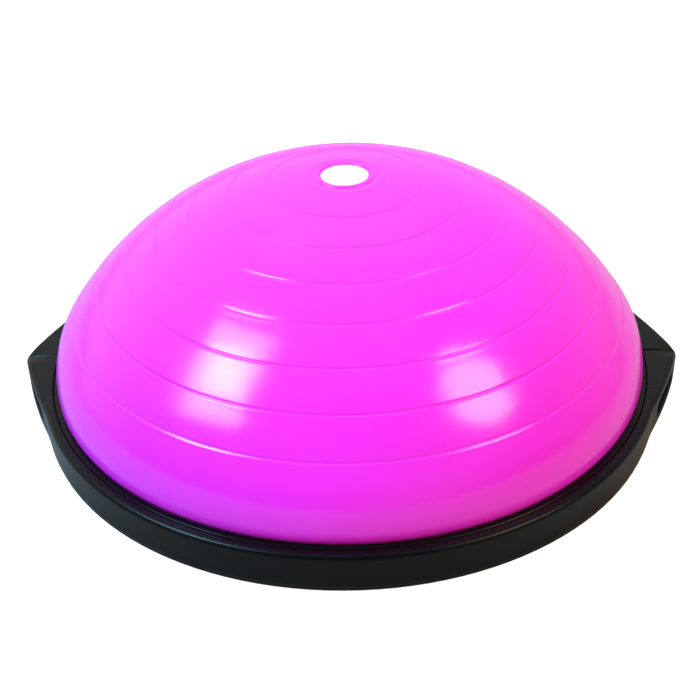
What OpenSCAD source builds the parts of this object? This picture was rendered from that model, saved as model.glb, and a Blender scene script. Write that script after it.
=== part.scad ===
// Balance dome trainer: an air-filled half ball held on a round platform by a
// screwed clamp ring, inside a two-piece rim with a hand hold at each side.
// Millimetres. Z is up. The origin is on the floor, under the dome's centre.

/* [Overall size] */
// Radius of the round platform
ring_r = 300; // [250:1:360]
// Height of the rim's top face above the floor
ring_top = 38; // [36:0.5:50]
// Height of the blown-up dome above the floor
dome_top = 233; // [200:1:280]

/* [Ears] */
// How far each hand-hold ear stands out past the round rim
ear_out = 24; // [21:0.5:30]
// Width of the ear's blunt outer end
ear_nose = 4; // [3:0.5:12]
// Angle from the ear's middle at which its side meets the round rim
ear_spread = 19; // [17:0.5:23]
// Radius of the gentle curve along each side of an ear
ear_side_r = 600; // [450:10:900]
// Depth of the finger scoop, from a straight line along the ear's side
scoop_depth = 9; // [7:0.5:9.5]
// Length of the finger scoop along the ear's side
scoop_len = 72; // [55:1:80]
// Depth of the thumb dip at the ear's outer end
dip_depth = 1.6; // [0.8:0.1:2]

/* [Rim] */
// Wall thickness of the moulded rim
rim_wall = 2.8; // [2.2:0.1:3]
// Rounding of the rim's outer top edge
rim_round = 4.5; // [2:0.5:6]
// Gap between the two rim halves
half_gap = 0.5; // [0.2:0.1:1]
// Distance from the rim's edge in to the seam with the clamp lip
seam_in = 10; // [8:0.1:11]
// Radial gap between the rim and the clamp lip
seam_gap = 0.5; // [0.3:0.1:1]

/* [Dome] */
// Distance from the rim's edge in to the dome where it is widest
dome_in = 14.5; // [13:0.5:17]
// Radius of the bend between the dome's round top and its upright foot
shoulder_r = 78; // [60:1:110]
// Height at which the dome is widest
dome_wide_z = 45; // [42:0.5:60]
// Thickness of the dome's skin
skin = 3; // [2:0.25:4]
// Distance between grip grooves, along the dome from its centre
groove_step = 38.3; // [30:0.1:42]
// Number of grip grooves
groove_count = 7; // [3:1:7]
// Radius of each groove's round bottom
groove_r = 1.3; // [0.8:0.1:1.8]
// Radius of the blank disc on top of the dome
label_r = 22; // [12:0.5:24]

/* [Platform] */
// Thickness of the pads' part that shows under the base
pad_show = 1.5; // [1:0.25:3]
// Thickness of the base's skin
base_skin = 3; // [2.5:0.25:4]
// Number of spokes inside the base
spokes = 12; // [8:4:16]
// Radius of the innermost ring rib inside the base
hub_r = 60; // [40:1:80]
// Thickness of every rib inside the base
rib = 2.2; // [1.6:0.1:3]
// Number of screws through the clamp ring
clamp_screw_count = 16; // [12:4:20]
// Number of screws that hold the deck down
deck_screw_count = 8; // [4:4:8]

/* [Valve] */
// Height of the valve's middle
valve_z = 75; // [66:1:85]
// Radius of the valve's bore
valve_bore_r = 4.75; // [4:0.05:6]
// Radial gap around the plug's stem
plug_gap = 0.05; // [0.02:0.01:0.1]

/* [Show] */
// Piece to draw

/* [Hidden] */
$fn = 96;
far = 2 * ring_r;

// heights of the stacked layers
base_z = pad_show;
edge_z = base_z + base_skin;
seat_z = edge_z + 2;
flange_top = seat_z + 3;
deck_t = 4;
deck_z = ring_top - 12 - deck_t;
floor_z = deck_z + deck_t + 0.3;
bead_top = floor_z + 5.5;
lip_z = bead_top + 0.2;
top_t = 3;

// radii of the clamped edge, from the outside in
cavity_r = ring_r - rim_wall;
clamp_out_r = cavity_r - 0.5;
clamp_in_r = clamp_out_r - 7.7;
seam_r = ring_r - seam_in;
lip_out_r = seam_r - seam_gap / 2;
rim_in_r = seam_r + seam_gap / 2;
screw_circle_r = (clamp_out_r + clamp_in_r) / 2;
bead_out_r = clamp_in_r - 0.8;
wall_out_r = clamp_in_r - 3;
wall_in_r = wall_out_r - 4;

// dome outline: a ball cap, a tighter shoulder and a tight tuck into the clamp
dome_r = ring_r - dome_in;
dome_rise = dome_top - dome_wide_z;
shoulder_x = dome_r - shoulder_r;
cap_r = (pow(shoulder_x, 2) + pow(dome_rise, 2) - pow(shoulder_r, 2)) / (2 * (dome_rise - shoulder_r));
cap_z = dome_top - cap_r;
cap_tilt = atan2(dome_wide_z - cap_z, shoulder_x);
cap_len = cap_r * (90 - cap_tilt) * PI / 180;
tuck_r = 14;
tuck_x = dome_r - tuck_r;
tuck_drop = 10;
tuck_tilt = asin(tuck_drop / tuck_r);
neck_r = tuck_x + tuck_r * cos(tuck_tilt);
lip_in_r = tuck_x + sqrt(pow(tuck_r, 2) - pow(dome_wide_z - ring_top, 2)) + 0.4;
label_ring_gap = 2;
label_ring_w = 3;
label_ring_h = 1.2;
land_r = label_r + 12.5;
land_z = cap_z + sqrt(pow(cap_r, 2) - pow(land_r, 2));

// ear outline: an arc on each side, from the blunt end to the round rim
ear_reach = ring_r + ear_out;
nose_x = sqrt(pow(ear_reach, 2) - pow(ear_nose / 2, 2));
meet = [ring_r * cos(ear_spread), ring_r * sin(ear_spread)];
side_len = norm(meet - [nose_x, ear_nose / 2]);
along = (meet - [nose_x, ear_nose / 2]) / side_len;
outward = [along[1], -along[0]];
side_c = (meet + [nose_x, ear_nose / 2]) / 2 - outward * sqrt(pow(ear_side_r, 2) - pow(side_len / 2, 2));

// wall that closes each rim half at its ends
end_web = 3.2;

// thumb dip: a wide shallow round hollow that runs out towards the dome
dip_r = 90;
dip_run = 34;
dip_len = 80;

// finger scoop: a round hollow in the ear's side between two lips
scoop_z0 = flange_top + 0.5;
scoop_z1 = ring_top - 7;
scoop_r = (pow(scoop_len / 2, 2) + pow(scoop_depth, 2)) / (2 * scoop_depth);
scoop_start = 10;
scoop_c = [nose_x, ear_nose / 2] + along * (scoop_start + scoop_len / 2) + outward * (scoop_r - scoop_depth);

// screws, pads and valve
screw_r = 1.75;
screw_gap = 0.05;
screw_head_r = 4;
screw_head_t = 2.6;
boss_r = 6;
rib_step = (wall_in_r - hub_r) / 4;
deck_screw_circle = hub_r + 1.5 * rib_step;
pad_r = 14;
pad_t = 3;
pad_circle = hub_r + 3.4 * rib_step;
grip_ring_step = 30;
grip_ring_w = 3;
grip_ring_deep = 0.6;
valve_tilt = asin((valve_z - dome_wide_z) / shoulder_r);
valve_out = shoulder_x + shoulder_r * cos(valve_tilt);
socket_r = 9;
socket_flange_r = 13;
socket_len = 15;

// ---------- shared shapes ----------

// A disc with its upper outer edge rounded
module puck(r, z0, z1, edge) {
    rotate_extrude()
        translate([0, z0])
            difference() {
                square([r, z1 - z0]);
                translate([r - edge, z1 - z0 - edge])
                    difference() {
                        square(edge + 1);
                        circle(r = edge);
                    }
            }
}

// A plain upright disc between two heights
module disc(r, z0, z1) {
    translate([0, 0, z0])
        cylinder(r = r, h = z1 - z0);
}

// A flat washer-like ring between two heights
module band(r_in, r_out, z0, z1) {
    difference() {
        disc(r_out, z0, z1);
        disc(r_in, z0 - 1, z1 + 1);
    }
}

// The wide disc whose edge shapes one side of an ear
module ear_side(centre_y, inset, z0, z1, edge) {
    translate([side_c[0], centre_y, 0])
        puck(ear_side_r - inset, z0, z1, edge, $fn = 360);
}

// The platform's outline as a block, drawn in from its edge by a margin
module outline_block(inset, z0, z1, edge) {
    puck(ring_r - inset, z0, z1, edge);
    for (side = [0, 180])
        rotate(side)
            intersection() {
                puck(ear_reach - inset, z0, z1, edge);
                ear_side(side_c[1], inset, z0, z1, edge);
                ear_side(-side_c[1], inset, z0, z1, edge);
                translate([meet[0] - 10, -far, z0 - 1])
                    cube([far, 2 * far, z1 - z0 + 2]);
            }
}

// A flat-headed screw standing upright on its head
module screw(length) {
    cylinder(r = screw_head_r, h = screw_head_t);
    cylinder(r = screw_r, h = length);
}

// Places its children around a circle
module around(count, r, first = 0) {
    for (i = [0 : count - 1])
        rotate(first + i * 360 / count)
            translate([r, 0, 0])
                children();
}

// Moves its children to the valve, pointing out of the dome at the back
module at_valve() {
    translate([0, valve_out, valve_z])
        rotate([valve_tilt - 90, 0, 0])
            children();
}

// ---------- platform ----------

module platform_base() {
    color([0.13, 0.13, 0.14])
    difference() {
        union() {
            outline_block(1.2, base_z, edge_z, 0.8);
            disc(cavity_r - 0.4, edge_z - 1, seat_z);
            disc(wall_out_r, edge_z - 1, deck_z);
        }
        base_cells();
        around(deck_screw_count, deck_screw_circle, 180 / deck_screw_count) {
            disc(boss_r + 0.4, deck_z - 6.1, deck_z + 1);
            screw_hole(deck_z);
        }
        around(clamp_screw_count, screw_circle_r, 180 / clamp_screw_count)
            screw_hole(seat_z + 1);
        around(8, pad_circle, 22.5)
            disc(pad_r + 0.2, base_z - 1, pad_t);
        // shallow grip rings to stand on when the trainer is turned over
        for (r = [36 : grip_ring_step : 200])
            band(r, r + grip_ring_w, base_z - 1, base_z + grip_ring_deep);
    }
}

// The hollow cells between the base's ribs, spokes and screw bosses
module base_cells() {
    difference() {
        union() {
            disc(hub_r - rib / 2, edge_z, deck_z + 1);
            for (i = [0 : 2])
                band(hub_r + i * rib_step + rib / 2, hub_r + (i + 1) * rib_step - rib / 2, edge_z, deck_z + 1);
            band(hub_r + 3 * rib_step + rib / 2, wall_in_r, edge_z, deck_z + 1);
        }
        for (i = [0 : spokes - 1])
            rotate((i + 0.5) * 360 / spokes)
                translate([hub_r, -rib / 2, 0])
                    cube([wall_in_r - hub_r + 1, rib, deck_z + 2]);
        around(deck_screw_count, deck_screw_circle, 180 / deck_screw_count)
            disc(boss_r, 0, deck_z + 2);
    }
}

// Clearance for a screw and its sunk head, from the underside up
module screw_hole(top) {
    disc(screw_r + 0.25, base_z - 1, top);
    disc(screw_head_r + 0.2, base_z - 1, base_z + screw_head_t + 0.3);
}

module platform_deck() {
    color([0.16, 0.16, 0.17])
    difference() {
        union() {
            disc(wall_out_r + 1, deck_z, deck_z + deck_t);
            around(deck_screw_count, deck_screw_circle, 180 / deck_screw_count)
                disc(5, deck_z - 6, deck_z + 0.5);
        }
        around(deck_screw_count, deck_screw_circle, 180 / deck_screw_count)
            disc(screw_r + screw_gap, deck_z - 7, deck_z + 2);
    }
}

module foot_pad(i) {
    color([0.08, 0.08, 0.08])
    rotate(22.5 + 45 * (i - 1))
        translate([pad_circle, 0, 0])
            difference() {
                disc(pad_r, 0, pad_t);
                for (r = [4, 8.5])
                    band(r, r + 1.5, -1, 0.6);
            }
}

module deck_screws() {
    color([0.6, 0.6, 0.62])
    around(deck_screw_count, deck_screw_circle, 180 / deck_screw_count)
        translate([0, 0, base_z + 0.2])
            screw(deck_z - base_z);
}

// ---------- clamped edge ----------

module clamp_ring() {
    color([0.11, 0.11, 0.12])
    difference() {
        rotate_extrude()
            polygon([
                [clamp_in_r, flange_top], [clamp_out_r, flange_top],
                [clamp_out_r, ring_top - top_t - 0.3], [lip_out_r, ring_top - top_t - 0.3],
                [lip_out_r, ring_top - 0.6], [lip_out_r - 0.6, ring_top],
                [lip_in_r + 0.8, ring_top], [lip_in_r, ring_top - 0.8],
                [lip_in_r, lip_z], [clamp_in_r, lip_z]
            ]);
        around(clamp_screw_count, screw_circle_r, 180 / clamp_screw_count)
            disc(screw_r + screw_gap, flange_top - 1, flange_top + 12);
    }
}

module clamp_screws() {
    color([0.6, 0.6, 0.62])
    around(clamp_screw_count, screw_circle_r, 180 / clamp_screw_count)
        translate([0, 0, base_z + 0.2])
            screw(flange_top + 11 - base_z);
}

// ---------- rim ----------

// The round hollow for the fingers, with soft upper and lower edges
module scoop(extra, z0, z1, edge) {
    translate([scoop_c[0], -scoop_c[1], 0])
        rotate_extrude()
            translate([0, z0])
                difference() {
                    square([scoop_r + extra, z1 - z0]);
                    for (up = [0, 1])
                        translate([scoop_r + extra - edge, up * (z1 - z0)])
                            mirror([0, up])
                                translate([0, edge])
                                    difference() {
                                        translate([0, -edge - 1])
                                            square(edge + 1);
                                        circle(r = edge);
                                    }
                }
}

// Both scoops of the front half
module front_scoops(extra, z0, z1, edge) {
    for (m = [0, 1])
        mirror([m, 0, 0])
            scoop(extra, z0, z1, edge);
}

// The shallow dip across the ear's top, deepest at its outer end
module thumb_dip() {
    for (side = [0, 180])
        rotate(side)
            translate([ear_reach, 0, ring_top - dip_depth])
                rotate([0, 90 - atan(dip_depth / dip_run), 0])
                    translate([-dip_r, 0, -0.75 * dip_len])
                        cylinder(r = dip_r, h = dip_len);
}

module rim_half() {
    difference() {
        outline_block(0, edge_z + 0.2, ring_top, rim_round);
        // opening for the dome and its clamp
        disc(rim_in_r, seat_z, ring_top + 1);
        disc(clamp_in_r - 1, 0, ring_top + 1);
        disc(cavity_r, 0, seat_z);
        disc(cavity_r - 0.3, flange_top, ring_top - top_t);
        // hollow inside the ears, closed by the scoop walls and the end webs
        difference() {
            outline_block(rim_wall, flange_top, ring_top - top_t, 1);
            front_scoops(rim_wall, flange_top - 1, ring_top, 1);
            for (side = [0, 180])
                rotate(side)
                    translate([cavity_r - 4, -end_web, 0])
                        cube([2 * ear_out, 2 * end_web, ring_top]);
        }
        front_scoops(0, scoop_z0, scoop_z1, 5);
        around(clamp_screw_count, screw_circle_r, 180 / clamp_screw_count)
            disc(screw_r + 0.25, seat_z - 1, flange_top + 1);
        // small bevels along the seam with the clamp lip
        translate([0, 0, ring_top - 0.6])
            cylinder(r1 = rim_in_r, r2 = rim_in_r + 0.7, h = 0.7);
        thumb_dip();
        // the rear half's side of the joint, and the bevel along it
        translate([-far, -half_gap / 2, -1])
            cube([2 * far, far, ring_top + 2]);
        for (side = [0, 180])
            rotate(side)
                translate([ring_r, 0, ring_top - 1.2])
                    rotate([45, 0, 0])
                        cube([2.4 * ear_out, 1.6, 1.6], center = true);
    }
}

module rim_front() {
    color([0.13, 0.13, 0.14])
    rim_half();
}

module rim_rear() {
    color([0.13, 0.13, 0.14])
    mirror([0, 1, 0])
        rim_half();
}

// ---------- dome ----------

// Half of the dome's outline, drawn in from its surface by a margin
module dome_half(inset, z0) {
    foot_r = neck_r - inset;
    intersection() {
        translate([0, cap_z])
            circle(r = cap_r - inset, $fn = 240);
        polygon([
            [0, z0], [(z0 - cap_z) / tan(cap_tilt), z0],
            [far * cos(cap_tilt), cap_z + far * sin(cap_tilt)], [0, far]
        ]);
    }
    intersection() {
        translate([shoulder_x, dome_wide_z])
            circle(r = shoulder_r - inset);
        translate([0, dome_wide_z])
            square(far);
    }
    intersection() {
        translate([tuck_x, dome_wide_z])
            circle(r = tuck_r - inset);
        translate([0, dome_wide_z - (tuck_r - inset) * sin(tuck_tilt)])
            square(far);
    }
    polygon([
        [0, z0], [foot_r, z0],
        [tuck_x + (tuck_r - inset) * cos(tuck_tilt), dome_wide_z - (tuck_r - inset) * sin(tuck_tilt)],
        [tuck_x, dome_wide_z + tuck_r / 4], [shoulder_x, dome_wide_z + tuck_r], [0, dome_wide_z + tuck_r]
    ]);
}

module dome_bladder() {
    color([0.93, 0.2, 0.72])
    difference() {
        union() {
            rotate_extrude()
                difference() {
                    union() {
                        dome_half(0, floor_z);
                        translate([neck_r - skin, floor_z])
                            square([bead_out_r - neck_r + skin, bead_top - floor_z]);
                    }
                    dome_half(skin, floor_z + 2);
                    // flat land for the disc on top
                    translate([-1, land_z])
                        square([land_r + 4, 30]);
                }
            // raised ring around the disc, on a thicker patch of skin
            band(
                label_r + label_ring_gap, label_r + label_ring_gap + label_ring_w,
                land_z - 0.5, land_z + label_ring_h
            );
            disc(land_r + 4, land_z - skin, land_z - 1);
        }
        for (k = [1 : groove_count])
            groove((k + 1) * groove_step - 4);
        at_valve() {
            cylinder(r = socket_r, h = 40, center = true);
            translate([0, 0, -1])
                cylinder(r = socket_flange_r + 0.2, h = 20);
        }
    }
}

// One grip groove, at a distance measured along the dome from its centre
module groove(along_dome) {
    on_cap = along_dome < cap_len;
    lean = on_cap ? 90 - along_dome / cap_r * 180 / PI
                  : cap_tilt - (along_dome - cap_len) / shoulder_r * 180 / PI;
    place = on_cap ? [cap_r * cos(lean), cap_z + cap_r * sin(lean)]
                   : [shoulder_x + shoulder_r * cos(lean), dome_wide_z + shoulder_r * sin(lean)];
    rotate_extrude()
        translate(place)
            circle(r = groove_r, $fn = 24);
}

module dome_label() {
    color([0.95, 0.95, 0.95])
    disc(label_r, land_z, land_z + 0.6);
}

// ---------- valve ----------

module valve_socket() {
    color([0.85, 0.16, 0.64])
    at_valve()
        difference() {
            union() {
                translate([0, 0, -socket_len])
                    cylinder(r = socket_r, h = socket_len);
                translate([0, 0, -1])
                    cylinder(r = socket_flange_r, h = 2);
            }
            translate([0, 0, -socket_len - 1])
                cylinder(r = valve_bore_r, h = socket_len + 3);
        }
}

module air_plug() {
    color([0.95, 0.95, 0.93])
    at_valve() {
        // tapered tip, straight sealing stem and a flat head with a pull tab
        translate([0, 0, -12])
            cylinder(r1 = valve_bore_r - 1.2, r2 = valve_bore_r - plug_gap, h = 3);
        translate([0, 0, -9])
            cylinder(r = valve_bore_r - plug_gap, h = 10.5);
        translate([0, 0, 1.1])
            cylinder(r = 8, h = 1.9);
        translate([-5, -1, 2])
            cube([10, 2, 4]);
    }
}

platform_base();
platform_deck();
dome_bladder();
clamp_ring();
rim_front();
rim_rear();
clamp_screws();
deck_screws();
valve_socket();
air_plug();
dome_label();
foot_pad(1);  // foot_pad_1
foot_pad(2);  // foot_pad_2
foot_pad(3);  // foot_pad_3
foot_pad(4);  // foot_pad_4
foot_pad(5);  // foot_pad_5
foot_pad(6);  // foot_pad_6
foot_pad(7);  // foot_pad_7
foot_pad(8);  // foot_pad_8
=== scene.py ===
"""Looks for the balance dome trainer: an inflated PVC dome held on a black moulded platform."""
import math

import bmesh
import bpy
from mathutils import Matrix, Vector


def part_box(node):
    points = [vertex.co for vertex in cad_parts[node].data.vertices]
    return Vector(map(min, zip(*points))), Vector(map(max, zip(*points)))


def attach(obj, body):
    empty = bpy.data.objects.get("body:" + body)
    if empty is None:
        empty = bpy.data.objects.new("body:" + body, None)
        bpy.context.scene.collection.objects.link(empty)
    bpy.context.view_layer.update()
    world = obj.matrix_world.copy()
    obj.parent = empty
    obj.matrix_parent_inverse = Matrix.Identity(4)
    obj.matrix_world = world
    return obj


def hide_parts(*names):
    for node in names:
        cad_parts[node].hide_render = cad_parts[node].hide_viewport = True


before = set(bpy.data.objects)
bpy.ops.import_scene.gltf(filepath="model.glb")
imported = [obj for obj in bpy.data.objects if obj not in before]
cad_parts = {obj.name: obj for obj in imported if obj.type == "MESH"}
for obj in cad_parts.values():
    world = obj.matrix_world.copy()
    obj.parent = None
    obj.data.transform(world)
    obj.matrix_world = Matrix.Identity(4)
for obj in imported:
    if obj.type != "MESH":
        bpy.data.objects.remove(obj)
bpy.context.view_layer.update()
scene = bpy.context.scene

# ---------------------------------------------------------------- sizes in metres, as in the frame

RING_R = round(-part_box("rim_front")[0][1], 4)
RING_TOP = 0.038
EAR_REACH = round(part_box("rim_front")[1][0], 4)
EAR_NOSE = 0.004
EAR_SPREAD = math.radians(19)
EAR_SIDE_R = 0.600
RIM_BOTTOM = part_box("rim_front")[0][2]
RIM_ROUND = 0.0045
RIM_IN_R = RING_R - 0.00975
CAVITY_R = RING_R - 0.0028
FLANGE_IN_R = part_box("clamp_ring")[1][0] - 0.0087
FLANGE_Z = (0.0065, 0.0095)
HALF_GAP = 0.0005
SCOOP_Z = (0.010, 0.031)
SCOOP_EDGE = 0.005
SCOOP_DEPTH = 0.009
SCOOP_LENGTH = 0.072
SCOOP_START = 0.010

DOME_TOP = 0.233
DOME_WIDE_R = RING_R - 0.0145
DOME_WIDE_Z = 0.045
SHOULDER_R = 0.078
SHOULDER_X = DOME_WIDE_R - SHOULDER_R
DOME_RISE = DOME_TOP - DOME_WIDE_Z
CAP_R = (SHOULDER_X**2 + DOME_RISE**2 - SHOULDER_R**2) / (2 * (DOME_RISE - SHOULDER_R))
CAP_Z = DOME_TOP - CAP_R
CAP_TILT = math.atan2(DOME_WIDE_Z - CAP_Z, SHOULDER_X)
CAP_LENGTH = CAP_R * (math.pi / 2 - CAP_TILT)
TUCK_R = 0.014
TUCK_X = DOME_WIDE_R - TUCK_R
FLOOR_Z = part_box("dome_bladder")[0][2]
LABEL_R = 0.022
LAND_R = LABEL_R + 0.0125
LAND_Z = CAP_Z + math.sqrt(CAP_R**2 - LAND_R**2)
GROOVE_STEP = 0.0383
GROOVES = [(k + 1) * GROOVE_STEP - 0.004 for k in range(1, 8)]
VALVE_Z = 0.075
VALVE_TILT = math.asin((VALVE_Z - DOME_WIDE_Z) / SHOULDER_R)
VALVE_AT = Vector((0, SHOULDER_X + SHOULDER_R * math.cos(VALVE_TILT), VALVE_Z))
VALVE_TURN = Matrix.Translation(VALVE_AT) @ Matrix.Rotation(VALVE_TILT - math.pi / 2, 4, "X")
SCREW_HEAD_R = 0.004
SCREW_CIRCLE_R = (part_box("clamp_screws")[1][0] - SCREW_HEAD_R) / math.cos(math.radians(11.25))
DECK_SCREW_CIRCLE_R = 0.14325
PAD_R = 0.014
JOINT_HALF = 0.8 * HALF_GAP
SCREW_HEAD_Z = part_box("clamp_screws")[0][2]

# ---------------------------------------------------------------- mesh helpers


def finish_piece(mesh, name, body, material, recalc=True):
    """Turns a bmesh into a named piece that rides on a body."""
    if recalc:
        bmesh.ops.recalc_face_normals(mesh, faces=mesh.faces)
    data = bpy.data.meshes.new(name)
    mesh.to_mesh(data)
    mesh.free()
    piece = bpy.data.objects.new(name, data)
    scene.collection.objects.link(piece)
    data.shade_smooth()
    data.materials.append(material)
    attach(piece, body)
    return piece


def spun(profile, steps=96, turn=None):
    """A closed round body from an outline of (radius, height) points, starting and ending on the axis."""
    mesh = bmesh.new()
    line = [mesh.verts.new((r, 0, z)) for r, z in profile]
    edges = [mesh.edges.new(pair) for pair in zip(line, line[1:])]
    bmesh.ops.spin(mesh, geom=line + edges, cent=(0, 0, 0), axis=(0, 0, 1),
                   angle=2 * math.pi, steps=steps, use_merge=True)
    bmesh.ops.remove_doubles(mesh, verts=mesh.verts, dist=1e-6)
    if turn is not None:
        bmesh.ops.transform(mesh, matrix=turn, verts=mesh.verts)
    return mesh


def arc(cx, cz, r, start, end, count):
    """Points along an arc, in radians from the outward direction."""
    return [(cx + r * math.cos(start + (end - start) * i / count),
             cz + r * math.sin(start + (end - start) * i / count)) for i in range(count + 1)]


# ---------------------------------------------------------------- shader helpers


def new_group(name, inputs, outputs):
    group = bpy.data.node_groups.new(name, "ShaderNodeTree")
    for label, kind, value in inputs:
        socket = group.interface.new_socket(label, in_out="INPUT", socket_type=kind)
        if value is not None:
            socket.default_value = value
    for label, kind in outputs:
        group.interface.new_socket(label, in_out="OUTPUT", socket_type=kind)
    return group, group.nodes.new("NodeGroupInput"), group.nodes.new("NodeGroupOutput")


def add(tree, kind, links=(), **settings):
    """Adds a node, sets its values, and links its inputs: links are (input, output socket)."""
    node = tree.nodes.new(kind)
    for key, value in settings.items():
        if key.startswith("in_"):
            index = key[3:]
            socket = node.inputs[int(index)] if index.isdigit() else node.inputs[index.replace("_", " ")]
            socket.default_value = value
        else:
            setattr(node, key, value)
    for target, source in links:
        tree.links.new(node.inputs[target], source)
    return node


def ramp(tree, source, low, high, start=0.0, end=1.0):
    """Maps a value between two levels onto start to end."""
    node = add(tree, "ShaderNodeMapRange", [(0, source)])
    for index, level in enumerate((low, high, start, end), 1):
        node.inputs[index].default_value = level
    return node.outputs[0]


def new_material(name):
    """A material with its node tree and its main shader."""
    material = bpy.data.materials.new(name)
    material.use_nodes = True
    return material, material.node_tree, material.node_tree.nodes["Principled BSDF"]


# fine moulded grain: a height made of two sizes of soft pits
grain_group, grain_in, grain_out = new_group(
    "moulded_grain",
    [("Vector", "NodeSocketVector", None), ("Scale", "NodeSocketFloat", 900.0)],
    [("Height", "NodeSocketFloat")])
grain_links = [("Vector", grain_in.outputs[0]), ("Scale", grain_in.outputs[1])]
pits = add(grain_group, "ShaderNodeTexVoronoi", grain_links, feature="SMOOTH_F1")
ripple = add(grain_group, "ShaderNodeTexNoise", grain_links, in_Detail=3.0)
both = add(grain_group, "ShaderNodeMath", [(0, pits.outputs["Distance"]), (1, ripple.outputs[0])],
           operation="ADD")
grain_group.links.new(grain_out.inputs[0], both.outputs[0])

# handling marks: soft smudges and fine hairline scuffs
marks_group, marks_in, marks_out = new_group(
    "handling_marks",
    [("Vector", "NodeSocketVector", None)],
    [("Smudge", "NodeSocketFloat"), ("Scuff", "NodeSocketFloat")])
smudge = add(marks_group, "ShaderNodeTexNoise", [("Vector", marks_in.outputs[0])],
             in_Scale=9.0, in_Detail=5.0, in_Roughness=0.6)
stretch = add(marks_group, "ShaderNodeMapping", [("Vector", marks_in.outputs[0])])
stretch.inputs["Rotation"].default_value = (0.4, 0.3, 0.6)
stretch.inputs["Scale"].default_value = (14.0, 260.0, 120.0)
hair = add(marks_group, "ShaderNodeTexNoise", [("Vector", stretch.outputs[0])],
           in_Scale=1.0, in_Detail=2.0, in_Distortion=0.4)
patch = add(marks_group, "ShaderNodeTexNoise", [("Vector", marks_in.outputs[0])], in_Scale=23.0)
scuff = add(marks_group, "ShaderNodeMath",
            [(0, ramp(marks_group, hair.outputs[0], 0.66, 0.74)),
             (1, ramp(marks_group, patch.outputs[0], 0.55, 0.7))],
            operation="MULTIPLY")
marks_group.links.new(marks_out.inputs[0], ramp(marks_group, smudge.outputs[0], 0.35, 0.7))
marks_group.links.new(marks_out.inputs[1], scuff.outputs[0])


def plastic(name, colour, worn, rough, rough_spread, grain_scale, grain_depth, specular=0.5, scuffs=0.5):
    """A moulded plastic or rubber with grain, smudges and fine scuffs."""
    material, tree, shader = new_material(name)
    shader.inputs["Specular IOR Level"].default_value = specular
    where = add(tree, "ShaderNodeTexCoord").outputs["Object"]
    grain = add(tree, "ShaderNodeGroup", node_tree=grain_group)
    tree.links.new(grain.inputs["Vector"], where)
    grain.inputs["Scale"].default_value = grain_scale
    marks = add(tree, "ShaderNodeGroup", node_tree=marks_group)
    tree.links.new(marks.inputs["Vector"], where)
    faded = add(tree, "ShaderNodeMath", [(0, marks.outputs["Scuff"])], operation="MULTIPLY", in_1=scuffs)
    mix = add(tree, "ShaderNodeMix", [(0, faded.outputs[0])], data_type="RGBA")
    mix.inputs[6].default_value = (*colour, 1)
    mix.inputs[7].default_value = (*worn, 1)
    tree.links.new(shader.inputs["Base Color"], mix.outputs[2])
    gloss = ramp(tree, marks.outputs["Smudge"], 0.0, 1.0, rough - rough_spread, rough + rough_spread)
    tree.links.new(shader.inputs["Roughness"], gloss)
    bump = add(tree, "ShaderNodeBump", [("Height", grain.outputs["Height"])])
    bump.inputs["Strength"].default_value = 0.6
    bump.inputs["Distance"].default_value = grain_depth
    tree.links.new(shader.inputs["Normal"], bump.outputs[0])
    return material


def dome_material(name, colour, deep):
    """Glossy soft PVC: faint orange peel, cloudy smudges in the gloss, and painted shade in the grooves as a
    deeper colour.
    """
    material, tree, shader = new_material(name)
    shader.inputs["Specular IOR Level"].default_value = 0.5
    where = add(tree, "ShaderNodeTexCoord").outputs["Object"]
    cloud = add(tree, "ShaderNodeTexNoise", [("Vector", where)], in_Scale=5.0, in_Detail=3.0)
    groove = add(tree, "ShaderNodeAttribute", attribute_name="groove")
    # painted shade: the groove depth darkens the pink towards the deep colour in the grooves; the cloud noise
    # is random tone
    line = add(tree, "ShaderNodeMath", [(0, groove.outputs["Fac"])], operation="MULTIPLY", in_1=0.3)
    share = add(tree, "ShaderNodeMath", [(0, line.outputs[0]), (1, ramp(tree, cloud.outputs[0], 0.3, 1.6))],
                operation="MAXIMUM")
    mix = add(tree, "ShaderNodeMix", [(0, share.outputs[0])], data_type="RGBA")
    mix.inputs[6].default_value = (*colour, 1)
    mix.inputs[7].default_value = (*deep, 1)
    tree.links.new(shader.inputs["Base Color"], mix.outputs[2])
    marks = add(tree, "ShaderNodeGroup", node_tree=marks_group)
    tree.links.new(marks.inputs["Vector"], where)
    tree.links.new(shader.inputs["Roughness"], ramp(tree, marks.outputs["Smudge"], 0.0, 1.0, 0.15, 0.21))
    peel = add(tree, "ShaderNodeTexNoise", [("Vector", where)], in_Scale=260.0, in_Detail=2.0)
    bump = add(tree, "ShaderNodeBump", [("Height", peel.outputs[0])])
    bump.inputs["Strength"].default_value = 0.25
    bump.inputs["Distance"].default_value = 0.00012
    wave = add(tree, "ShaderNodeTexNoise", [("Vector", where)], in_Scale=26.0, in_Detail=1.0)
    sway = add(tree, "ShaderNodeBump", [("Height", wave.outputs[0]), ("Normal", bump.outputs[0])])
    sway.inputs["Strength"].default_value = 0.5
    sway.inputs["Distance"].default_value = 0.0009
    tree.links.new(shader.inputs["Normal"], sway.outputs[0])
    return material


def zinc_material():
    """Zinc-plated screw steel with a faint turned grain."""
    material, tree, shader = new_material("zinc_plate")
    shader.inputs["Metallic"].default_value = 1.0
    where = add(tree, "ShaderNodeTexCoord").outputs["Object"]
    blotch = add(tree, "ShaderNodeTexNoise", [("Vector", where)], in_Scale=700.0, in_Detail=4.0)
    mix = add(tree, "ShaderNodeMix", [(0, blotch.outputs[0])], data_type="RGBA")
    mix.inputs[6].default_value = (0.42, 0.43, 0.44, 1)
    mix.inputs[7].default_value = (0.72, 0.72, 0.70, 1)
    tree.links.new(shader.inputs["Base Color"], mix.outputs[2])
    tree.links.new(shader.inputs["Roughness"], ramp(tree, blotch.outputs[0], 0.0, 1.0, 0.25, 0.5))
    return material


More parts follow.
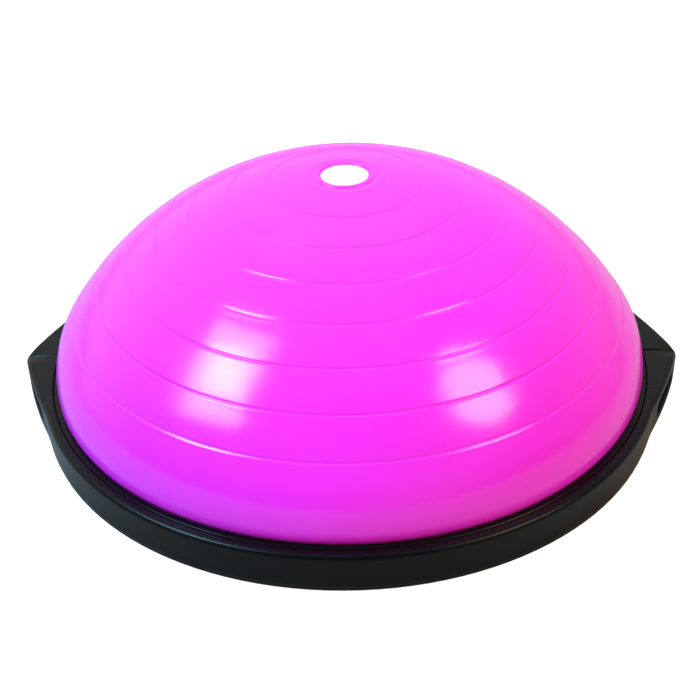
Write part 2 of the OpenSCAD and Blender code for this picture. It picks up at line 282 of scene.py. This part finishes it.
pink_pvc = dome_material("pink_pvc", (0.93, 0.032, 0.88), (0.70, 0.016, 0.58))
black_rim = plastic("black_rim_plastic", (0.0022, 0.0022, 0.0026), (0.03, 0.03, 0.032),
                    0.32, 0.05, 1100.0, 0.00005, 0.17)
black_base = plastic("black_base_plastic", (0.006, 0.006, 0.007), (0.05, 0.05, 0.05),
                     0.52, 0.08, 800.0, 0.0001, 0.25)
pad_rubber = plastic("pad_rubber", (0.012, 0.012, 0.012), (0.07, 0.065, 0.06),
                     0.75, 0.08, 1500.0, 0.00008, 0.3)
valve_pvc = plastic("valve_pvc", (0.55, 0.008, 0.42), (0.7, 0.2, 0.6),
                    0.35, 0.06, 1200.0, 0.00003, 0.5, 0.2)
plug_white = plastic("plug_plastic", (0.72, 0.72, 0.69), (0.5, 0.49, 0.45),
                     0.35, 0.08, 1500.0, 0.00003, 0.5, 0.4)
label_vinyl = plastic("label_vinyl", (0.66, 0.66, 0.68), (0.5, 0.5, 0.5),
                      0.3, 0.05, 1800.0, 0.00001, 0.5, 0.2)
zinc = zinc_material()


def print_ring(material, inner, outer, colour):
    """Adds a thin printed circle to a finish, round the upright axis."""
    tree = material.node_tree
    shader = tree.nodes["Principled BSDF"]
    ground = shader.inputs["Base Color"].links[0].from_socket
    place = add(tree, "ShaderNodeSeparateXYZ", [(0, add(tree, "ShaderNodeTexCoord").outputs["Object"])])
    flat = add(tree, "ShaderNodeCombineXYZ", [(0, place.outputs[0]), (1, place.outputs[1])])
    radius = add(tree, "ShaderNodeVectorMath", [(0, flat.outputs[0])], operation="LENGTH")
    off = add(tree, "ShaderNodeMath", [(0, radius.outputs["Value"])], operation="SUBTRACT",
              in_1=(inner + outer) / 2)
    away = add(tree, "ShaderNodeMath", [(0, off.outputs[0])], operation="ABSOLUTE")
    inked = add(tree, "ShaderNodeMath", [(0, away.outputs[0])], operation="LESS_THAN",
                in_1=(outer - inner) / 2)
    mix = add(tree, "ShaderNodeMix", [(0, inked.outputs[0]), (6, ground)], data_type="RGBA")
    mix.inputs[7].default_value = (*colour, 1)
    tree.links.new(shader.inputs["Base Color"], mix.outputs[2])


print_ring(label_vinyl, LABEL_R - 0.0032, LABEL_R - 0.0027, (0.75, 0.35, 0.62))

# ---------------------------------------------------------------- CAD nodes that stay

KEPT = {"platform_base": black_base, "platform_deck": black_base, "clamp_ring": black_rim}
for node, material in KEPT.items():
    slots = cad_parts[node].data.materials
    for i in range(len(slots)):
        slots[i] = material

# ---------------------------------------------------------------- dome


def cap_point(length, proud=0.0):
    """A point on the dome's outline, at a distance measured along it from its centre."""
    if length < CAP_LENGTH:
        lean = math.pi / 2 - length / CAP_R
        return (CAP_R + proud) * math.cos(lean), CAP_Z + (CAP_R + proud) * math.sin(lean)
    lean = CAP_TILT - (length - CAP_LENGTH) / SHOULDER_R
    return (SHOULDER_X + (SHOULDER_R + proud) * math.cos(lean),
            DOME_WIDE_Z + (SHOULDER_R + proud) * math.sin(lean))


def dome_outline():
    """Outline points from the dome's top to the middle of its floor, with how deep in a groove each is."""
    points = [((r, LAND_Z), 0.0) for r in (0, 0.008, 0.016, LABEL_R + 0.0004, LABEL_R + 0.0019)]
    ring_low, ring_high = LABEL_R + 0.0020, LABEL_R + 0.0052
    for i in range(11):
        t = i / 10
        crest = LAND_Z + 0.0012 * math.sin(math.pi * t) ** 0.6
        points.append(((ring_low + (ring_high - ring_low) * t, crest), 0.0))
    points += [((ring_high + 0.0012, LAND_Z), 0.0), ((LAND_R - 0.003, LAND_Z + 0.00005), 0.0),
               ((LAND_R - 0.0012, LAND_Z + 0.0004), 0.0), ((LAND_R + 0.0004, LAND_Z + 0.0006), 0.0),
               ((LAND_R + 0.0022, LAND_Z + 0.0002), 0.0)]
    edges = [LAND_R + 0.0045] + GROOVES + [CAP_LENGTH + SHOULDER_R * CAP_TILT]
    near_ends = [0.006 * i for i in range(16)] + [1 - 0.006 * i for i in range(1, 16)]
    steps = sorted(set([i / 16 for i in range(16)] + near_ends))
    for low, high in zip(edges, edges[1:]):
        span = high - low
        for t in steps:
            at = low + span * t
            away = min((at - g for g in GROOVES), key=abs)
            dip = math.exp(-(away / 0.0011) ** 2)
            lip = 0.00010 * math.exp(-((away - 0.0026) / 0.0014) ** 2)
            pillow = 0.00022 * math.sin(math.pi * t)
            points.append((cap_point(at, pillow + lip - 0.00045 * dip), dip))
    points += [(p, 0.0) for p in arc(TUCK_X, DOME_WIDE_Z, TUCK_R, 0.0, -math.asin(10 / 14), 8)]
    foot = points[-1][0][0]
    points += [((foot, FLOOR_Z + 0.004), 0.0), ((foot, FLOOR_Z + 0.0008), 0.0),
               ((foot - 0.001, FLOOR_Z), 0.0), ((foot * 0.5, FLOOR_Z), 0.0), ((0, FLOOR_Z), 0.0)]
    return points


outline = dome_outline()
dome_mesh = spun([p for p, _ in outline], steps=288)
dome = finish_piece(dome_mesh, "pvc_dome", "trainer", pink_pvc)
# each point's groove depth is stored for the dome finish, which uses it to paint shade into the grooves
depth_at = {(round(p[0], 5), round(p[1], 5)): dip for p, dip in outline}
groove_shade_weight = dome.data.attributes.new("groove", "FLOAT", "POINT")
for v in dome.data.vertices:
    place = (round(math.hypot(v.co.x, v.co.y), 5), round(v.co.z, 5))
    groove_shade_weight.data[v.index].value = depth_at.get(place, 0.0)
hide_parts("dome_bladder")

# blank disc on top
label_mesh = spun([(0, LAND_Z + 0.0011), (0.010, LAND_Z + 0.00105), (0.0165, LAND_Z + 0.0009),
                   (LABEL_R - 0.0008, LAND_Z + 0.0007), (LABEL_R - 0.0002, LAND_Z + 0.0005),
                   (LABEL_R, LAND_Z + 0.0002), (LABEL_R, LAND_Z), (0, LAND_Z)])
label = finish_piece(label_mesh, "blank_disc", "trainer", label_vinyl)
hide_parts("dome_label")

# ---------------------------------------------------------------- rim halves


def soft_min(a, b, blend):
    """The lower of two values, rounded where they meet."""
    near = max(blend - abs(a - b), 0.0) / blend
    return min(a, b) - near * near * blend / 4


def soft_step(value, low, high):
    t = min(max((value - low) / (high - low), 0.0), 1.0)
    return t * t * (3 - 2 * t)


nose = Vector((math.sqrt(EAR_REACH**2 - (EAR_NOSE / 2) ** 2), EAR_NOSE / 2))
meet = Vector((RING_R * math.cos(EAR_SPREAD), RING_R * math.sin(EAR_SPREAD)))
side_length = (meet - nose).length
side_along = (meet - nose).normalized()
side_out = Vector((side_along.y, -side_along.x))
side_centre = (meet + nose) / 2 - side_out * math.sqrt(EAR_SIDE_R**2 - (side_length / 2) ** 2)
SCOOP_R = ((SCOOP_LENGTH / 2) ** 2 + SCOOP_DEPTH**2) / (2 * SCOOP_DEPTH)
scoop_centre = nose + side_along * (SCOOP_START + SCOOP_LENGTH / 2) + side_out * (SCOOP_R - SCOOP_DEPTH)


def outline_radius(angle):
    """Distance out to the rim's outline, at an angle from the middle of the nearest ear."""
    if angle > 1.5 * EAR_SPREAD:
        return RING_R
    ray = Vector((math.cos(angle), math.sin(angle)))
    reach = ray.dot(side_centre)
    side = reach + math.sqrt(reach**2 - side_centre.length_squared + EAR_SIDE_R**2)
    return -soft_min(-soft_min(side, EAR_REACH, 0.0008), -RING_R, 0.0016)


def scoop_wall(angle, reach):
    """Distance out to the finger scoop's inner wall, or None where a ray misses the scoop."""
    ray = Vector((math.cos(angle), math.sin(angle)))
    middle = ray.dot(scoop_centre)
    inside = reach**2 - scoop_centre.length_squared + middle**2
    return middle - math.sqrt(inside) if inside > 0 else None


def rim_section():
    """Rows of the rim's section: radius, height, share of the ear's reach, scoop radius and deepest bite."""
    plain, low, high = [], SCOOP_Z[0], SCOOP_Z[1]
    plain += [(RIM_IN_R, RING_TOP - 0.003, 0), (RIM_IN_R, RING_TOP - 0.0012, 0),
              (RIM_IN_R + 0.0003, RING_TOP - 0.0005, 0),
              (RIM_IN_R + 0.0009, RING_TOP - 0.0001, 0), (RIM_IN_R + 0.0015, RING_TOP, 0)]
    flat = RING_R - RIM_ROUND
    plain += [(RIM_IN_R + 0.0015 + (flat - RIM_IN_R - 0.0015) * t, RING_TOP, t)
              for t in (0.2, 0.4, 0.6, 0.8, 0.92, 1.0)]
    plain += [(flat + RIM_ROUND * math.sin(a), RING_TOP - RIM_ROUND * (1 - math.cos(a)), 1)
              for a in (math.pi / 2 * i / 10 for i in range(1, 11))]
    rows = [(*p, None, 0) for p in plain]
    lip_r = SCOOP_R - SCOOP_EDGE
    rows += [(RING_R, high + 0.0014, 1, None, 0), (RING_R, high + 0.0007, 1, lip_r, 0.0002),
             (RING_R, high + 0.0002, 1, lip_r, 0.0006), (RING_R, high, 1, lip_r, 0.0013)]
    bends = [math.pi / 2 * i / 6 for i in range(7)]
    rows += [(RING_R, high - SCOOP_EDGE * (1 - math.cos(a)), 1, SCOOP_R - SCOOP_EDGE * (1 - math.sin(a)), 1)
             for a in bends]
    rows += [(RING_R, high - SCOOP_EDGE - (high - low - 2 * SCOOP_EDGE) * t, 1, SCOOP_R, 1)
             for t in (0.25, 0.5, 0.75, 1.0)]
    rows += [(RING_R, low + SCOOP_EDGE * (1 - math.cos(a)), 1, SCOOP_R - SCOOP_EDGE * (1 - math.sin(a)), 1)
             for a in reversed(bends[:-1])]
    rows += [(RING_R, low, 1, lip_r, 0.0013), (RING_R, low - 0.0002, 1, lip_r, 0.0006),
             (RING_R, low - 0.0007, 1, lip_r, 0.0002), (RING_R, low - 0.0014, 1, None, 0)]
    base = [(RING_R, RIM_BOTTOM + 0.0012, 1), (RING_R - 0.0003, RIM_BOTTOM + 0.0003, 1),
            (RING_R - 0.0010, RIM_BOTTOM, 1),
            (CAVITY_R, RIM_BOTTOM, 0), (CAVITY_R, FLANGE_Z[0], 0), (FLANGE_IN_R, FLANGE_Z[0], 0),
            (FLANGE_IN_R, FLANGE_Z[1], 0), (CAVITY_R - 0.0003, FLANGE_Z[1], 0),
            (CAVITY_R - 0.0003, RING_TOP - 0.003, 0)]
    return rows + [(*p, None, 0) for p in base]


def shape_rim(mesh, row_layer, rows, side):
    """Draws the spun section out to the ears, presses the scoops and thumb dips in, and bevels the joint."""
    for v in mesh.verts:
        r, z, share, scoop, bite = rows[v[row_layer]]
        turn = -math.atan2(v.co.y, v.co.x) / math.pi
        turn = turn % 2 if turn < -0.5 else max(turn, 0.0)
        turn -= 0.62 * math.sin(2 * math.pi * turn) / (2 * math.pi)
        ear = math.pi * min(turn, 1 - turn)
        outer = outline_radius(ear)
        r += share * (outer - RING_R)
        if scoop is not None:
            wall = scoop_wall(ear, scoop)
            if wall is not None:
                r = max(soft_min(r, wall, 0.0012), r - bite)
        x, y = r * math.cos(math.pi * turn), -r * math.sin(math.pi * turn)
        y = min(y, -JOINT_HALF)
        top = soft_step(z, RING_TOP - 0.009, RING_TOP - 0.004) * soft_step(r, RIM_IN_R, RIM_IN_R + 0.003)
        dip = 0.0017 * math.exp(-((y / 0.010) ** 2)) * soft_step(abs(x), 0.300, EAR_REACH - 0.002)
        bevel = 0.0014 * (1 - soft_step(-y, JOINT_HALF, 0.0021))
        v.co = (x, y * side, z - top * (dip + bevel))


def rim_half(name, node, side):
    """One half of the rim; side is 1 for the front half and -1 for the rear one."""
    rows = rim_section()
    mesh = bmesh.new()
    row_layer = mesh.verts.layers.int.new("row")
    line = []
    for i, row in enumerate(rows):
        v = mesh.verts.new((RING_R, 0, 0.001 * i))
        v[row_layer] = i
        line.append(v)
    edges = [mesh.edges.new(pair) for pair in zip(line, line[1:] + line[:1])]
    bmesh.ops.spin(mesh, geom=line + edges, cent=(0, 0, 0), axis=(0, 0, 1),
                   angle=-math.pi, steps=400, use_merge=False)
    shape_rim(mesh, row_layer, rows, side)
    bmesh.ops.holes_fill(mesh, edges=[e for e in mesh.edges if e.is_boundary], sides=0)
    bmesh.ops.remove_doubles(mesh, verts=mesh.verts, dist=2e-6)
    half = finish_piece(mesh, name, "trainer", black_rim)
    half.data.set_sharp_from_angle(angle=math.radians(50))
    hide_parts(node)


rim_half("rim_front_half", "rim_front", 1)
rim_half("rim_rear_half", "rim_rear", -1)

# ---------------------------------------------------------------- pads, screws and valve


def turned(profile, turn, steps=64):
    """A round body from a closed outline of (radius, height) points, placed by a matrix."""
    mesh = bmesh.new()
    line = [mesh.verts.new((r, 0, z)) for r, z in profile]
    edges = [mesh.edges.new(pair) for pair in zip(line, line[1:] + line[:1])]
    bmesh.ops.spin(mesh, geom=line + edges, cent=(0, 0, 0), axis=(0, 0, 1),
                   angle=2 * math.pi, steps=steps, use_merge=True)
    bmesh.ops.remove_doubles(mesh, verts=mesh.verts, dist=1e-6)
    bmesh.ops.transform(mesh, matrix=turn, verts=mesh.verts)
    return mesh


def foot_pad(i):
    angle = math.radians(22.5 + 45 * (i - 1))
    low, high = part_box(f"foot_pad_{i}")
    centre = Vector(((low[0] + high[0]) / 2, (low[1] + high[1]) / 2, 0))
    r, top = PAD_R, high[2]
    outline = [(0, 0), (0.004, 0), (0.0042, 0.0005), (0.0053, 0.0005), (0.0055, 0), (0.0085, 0),
               (0.0087, 0.0005), (0.0098, 0.0005), (0.0100, 0)]
    outline += arc(r - 0.0008, 0.0008, 0.0008, -math.pi / 2, 0, 5) + [(r, top), (0, top)]
    mesh = spun(outline, steps=48, turn=Matrix.Translation(centre) @ Matrix.Rotation(angle, 4, "Z"))
    pad = finish_piece(mesh, f"pad_{i}", "trainer", pad_rubber)
    pad.data.set_sharp_from_angle(angle=math.radians(40))
    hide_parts(f"foot_pad_{i}")


def screw_mesh(length):
    """A screw standing on its head: a cross recess underneath, a rounded head and a threaded shank."""
    mesh = bmesh.new()
    head_r, head_h, shank_r, pitch = SCREW_HEAD_R - 0.0001, 0.0026, 0.00172, 0.0011
    bmesh.ops.create_grid(mesh, x_segments=7, y_segments=7, size=1.0)
    for v in mesh.verts:
        x, y = v.co.x, v.co.y
        v.co = (head_r * 0.86 * x * math.sqrt(1 - y * y / 2), head_r * 0.86 * y * math.sqrt(1 - x * x / 2), 0)
    middles = {f: f.calc_center_median() for f in mesh.faces}
    cross = [f for f, m in middles.items()
             if min(abs(m.x), abs(m.y)) < 0.0002 and max(abs(m.x), abs(m.y)) < 0.0022]
    sunk = bmesh.ops.extrude_face_region(mesh, geom=cross)["geom"]
    deep = [g for g in sunk if isinstance(g, bmesh.types.BMVert)]
    bmesh.ops.translate(mesh, verts=deep, vec=(0, 0, 0.0014))
    bmesh.ops.delete(mesh, geom=[f for f in cross if f.is_valid], context="FACES_ONLY")
    rings = [(head_r * 0.95, 0.0003), (head_r, 0.0008), (head_r, head_h - 0.0002), (head_r - 0.0002, head_h),
             (shank_r, head_h)]
    z = head_h
    while z < length - 0.002:
        rings += [(shank_r, z + 0.3 * pitch), (shank_r * 0.8, z + 0.65 * pitch), (shank_r, z + pitch)]
        z += pitch
    rings += [(shank_r * 0.7, length - 0.0006), (0.00002, length)]
    edge = [e for e in mesh.edges if e.is_boundary]
    for r, z in rings:
        grown = bmesh.ops.extrude_edge_only(mesh, edges=edge)["geom"]
        for v in (g for g in grown if isinstance(g, bmesh.types.BMVert)):
            out = Vector((v.co.x, v.co.y)).normalized() * r
            v.co = (out.x, out.y, z)
        edge = [g for g in grown if isinstance(g, bmesh.types.BMEdge)]
    bmesh.ops.remove_doubles(mesh, verts=mesh.verts, dist=5e-5)
    bmesh.ops.recalc_face_normals(mesh, faces=mesh.faces)
    return mesh


def screw_circle(name, node, count, radius, length):
    """A circle of equal screws under the platform, each turned a little differently."""
    one = screw_mesh(length)
    single = bpy.data.meshes.new("screw")
    one.to_mesh(single)
    one.free()
    mesh = bmesh.new()
    for i in range(count):
        angle = 2 * math.pi * (i + 0.5) / count
        before = len(mesh.verts)
        mesh.from_mesh(single)
        mesh.verts.ensure_lookup_table()
        at = Vector((radius * math.cos(angle), radius * math.sin(angle), SCREW_HEAD_Z))
        turn = Matrix.Translation(at) @ Matrix.Rotation(2.4 * i, 4, "Z")
        bmesh.ops.transform(mesh, matrix=turn, verts=mesh.verts[before:])
    bpy.data.meshes.remove(single)
    screws = finish_piece(mesh, name, "trainer", zinc, recalc=False)
    screws.data.set_sharp_from_angle(angle=math.radians(35))
    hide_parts(node)


def valve():
    """The welded valve socket and the plug pushed into it."""
    bore, tube, flange = 0.00475, 0.009, 0.013
    socket = [(bore, -0.015), (bore, -0.0004), (bore + 0.0006, 0.0006), (bore + 0.0010, 0.0010),
              (0.0098, 0.0010), (0.0101, 0.0006), (0.0106, 0.0006), (0.0109, 0.0010),
              (flange - 0.0012, 0.0009),
              (flange - 0.0003, 0.0004), (flange, -0.0002), (flange, -0.0010), (tube, -0.0010),
              (tube, -0.015)]
    piece = finish_piece(turned(socket, VALVE_TURN), "valve_collar", "trainer", valve_pvc)
    piece.data.set_sharp_from_angle(angle=math.radians(40))
    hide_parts("valve_socket")
    stem = 0.0047
    plug = [(0, 0.0030), (0.0064, 0.0030), (0.0074, 0.0028), (0.0079, 0.0023), (0.0080, 0.0018),
            (0.0078, 0.0013),
            (0.0073, 0.0011), (stem, 0.0011), (stem, -0.009), (0.0035, -0.012), (0, -0.012)]
    mesh = spun(plug, steps=64)
    tab = bmesh.ops.create_cube(mesh, size=1.0, matrix=Matrix.Translation((0, 0, 0.0040))
                                @ Matrix.Diagonal((0.010, 0.002, 0.004, 1)))["verts"]
    sides = list({e for v in tab for e in v.link_edges})
    bmesh.ops.bevel(mesh, geom=sides, offset=0.0007, offset_type="OFFSET", segments=4, profile=0.5,
                    affect="EDGES", material=-1)
    bmesh.ops.transform(mesh, matrix=VALVE_TURN, verts=mesh.verts)
    piece = finish_piece(mesh, "pull_plug", "air_plug", plug_white)
    piece.data.set_sharp_from_angle(angle=math.radians(40))
    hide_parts("air_plug")


for pad_number in range(1, 9):
    foot_pad(pad_number)
clamp_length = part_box("clamp_screws")[1][2] - SCREW_HEAD_Z
deck_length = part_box("deck_screws")[1][2] - SCREW_HEAD_Z
screw_circle("clamp_ring_screws", "clamp_screws", 16, SCREW_CIRCLE_R, clamp_length)
screw_circle("deck_hold_screws", "deck_screws", 8, DECK_SCREW_CIRCLE_R, deck_length)
valve()

# ---------------------------------------------------------------- studio

floor_mesh = bmesh.new()
bmesh.ops.create_grid(floor_mesh, x_segments=1, y_segments=1, size=30.0)
floor_data = bpy.data.meshes.new("studio_floor")
floor_mesh.to_mesh(floor_data)
floor_mesh.free()
floor = bpy.data.objects.new("studio_floor", floor_data)
scene.collection.objects.link(floor)
floor_paint, floor_tree, paint = new_material("floor_paint")
paint.inputs["Base Color"].default_value = (0.40, 0.40, 0.40, 1)
paint.inputs["Roughness"].default_value = 0.9
paint.inputs["Specular IOR Level"].default_value = 0.1
paint.inputs["Emission Color"].default_value = (1, 1, 1, 1)
# the floor glows for the camera only, so it looks white and reflects calmly
look = add(floor_tree, "ShaderNodeLightPath")
glow = add(floor_tree, "ShaderNodeMath", [(0, look.outputs["Is Camera Ray"])],
           operation="MULTIPLY", in_1=0.86)
floor_tree.links.new(paint.inputs["Emission Strength"], glow.outputs[0])
floor_data.materials.append(floor_paint)

world = bpy.data.worlds.new("studio_air")
scene.world = world
world.use_nodes = True

# a white cyclorama behind, a dim room in front: seen white, and reflected with its own gradient
sky = world.node_tree
way = add(sky, "ShaderNodeSeparateXYZ", [(0, add(sky, "ShaderNodeTexCoord").outputs["Generated"])])
behind = ramp(sky, way.outputs["Y"], -0.25, 0.45, 0.08, 0.95)
across = ramp(sky, way.outputs["X"], -0.7, 0.7, 1.0, 0.5)
mixed = add(sky, "ShaderNodeMath", [(0, behind), (1, across)], operation="MULTIPLY")
ray = add(sky, "ShaderNodeLightPath")
seen = add(sky, "ShaderNodeMix", [(0, ray.outputs["Is Camera Ray"]), (2, mixed.outputs[0])], in_3=1.0)
sky.links.new(sky.nodes["Background"].inputs["Strength"], seen.outputs[0])
sky.nodes["Background"].inputs["Color"].default_value = (1, 1, 1, 1)


def softbox(name, azimuth, elevation, distance, size, radiance, colour,
            roll=0.0, aim=(0, -0.1, 0.12), shape="RECTANGLE"):
    """A soft light that faces the dome. Azimuth 0 is straight in front, 90 is to the right."""
    a, e = math.radians(azimuth), math.radians(elevation)
    back = Vector((math.sin(a) * math.cos(e), -math.cos(a) * math.cos(e), math.sin(e)))
    lamp = bpy.data.lights.new(name, "AREA")
    lamp.shape = shape
    lamp.size, lamp.size_y = size
    area = size[0] * size[1] * (math.pi / 4 if shape == "ELLIPSE" else 1.0)
    lamp.energy = radiance * math.pi * area
    lamp.color = colour
    holder = bpy.data.objects.new(name, lamp)
    scene.collection.objects.link(holder)
    holder.rotation_mode = "QUATERNION"
    holder.location = Vector(aim) + back * distance
    spin = Matrix.Rotation(math.radians(roll), 3, "Z").to_quaternion()
    holder.rotation_quaternion = back.to_track_quat("Z", "Y") @ spin
    holder.visible_camera = False
    return holder


LEFT_AIM, RIGHT_AIM = (-0.097, -0.198, 0.156), (0.114, -0.206, 0.141)
softbox("left_softbox", -71, 48, 2.2, (0.95, 1.3), 11.0, (0.32, 0.74, 1.0), roll=30, aim=LEFT_AIM)
softbox("left_softbox_core", -70, 47, 2.15, (0.6, 0.62), 15.0, (0.60, 0.84, 1.0), roll=30, aim=LEFT_AIM)
softbox("right_umbrella", 66, 43, 2.4, (1.0, 1.1), 11.5, (1.0, 0.80, 0.46), aim=RIGHT_AIM, shape="ELLIPSE")
top_fill = softbox("top_fill", 10, 80, 3.0, (2.4, 2.4), 1.2, (1.0, 0.95, 0.9))
back_fill = softbox("back_fill", 180, 48, 3.0, (2.4, 2.4), 2.6, (1.0, 0.95, 1.0))
front_fill = softbox("front_fill", 28, 14, 2.6, (1.6, 1.2), 2.2, (1.0, 0.45, 0.42))
# fills brighten the dome without showing in its gloss
for unseen in (top_fill, back_fill, front_fill):
    unseen.visible_glossy = False

camera_data = bpy.data.cameras.new("camera")
camera_data.lens = 65.083
camera_data.sensor_width = 36.0
camera_data.clip_start = 0.05
camera = bpy.data.objects.new("camera", camera_data)
scene.collection.objects.link(camera)
right = Vector((0.9996434, 0.0163451, -0.0211152))
up = Vector((0.0087632, 0.5461517, 0.8376404))
back = -Vector((-0.0252234, 0.8375268, -0.5458138))
camera.matrix_world = Matrix.Translation((0.032568, -1.054989, 0.728334)) @ Matrix(
    ((right.x, up.x, back.x), (right.y, up.y, back.y), (right.z, up.z, back.z))).to_4x4()
scene.camera = camera
scene.view_settings.view_transform = "Standard"
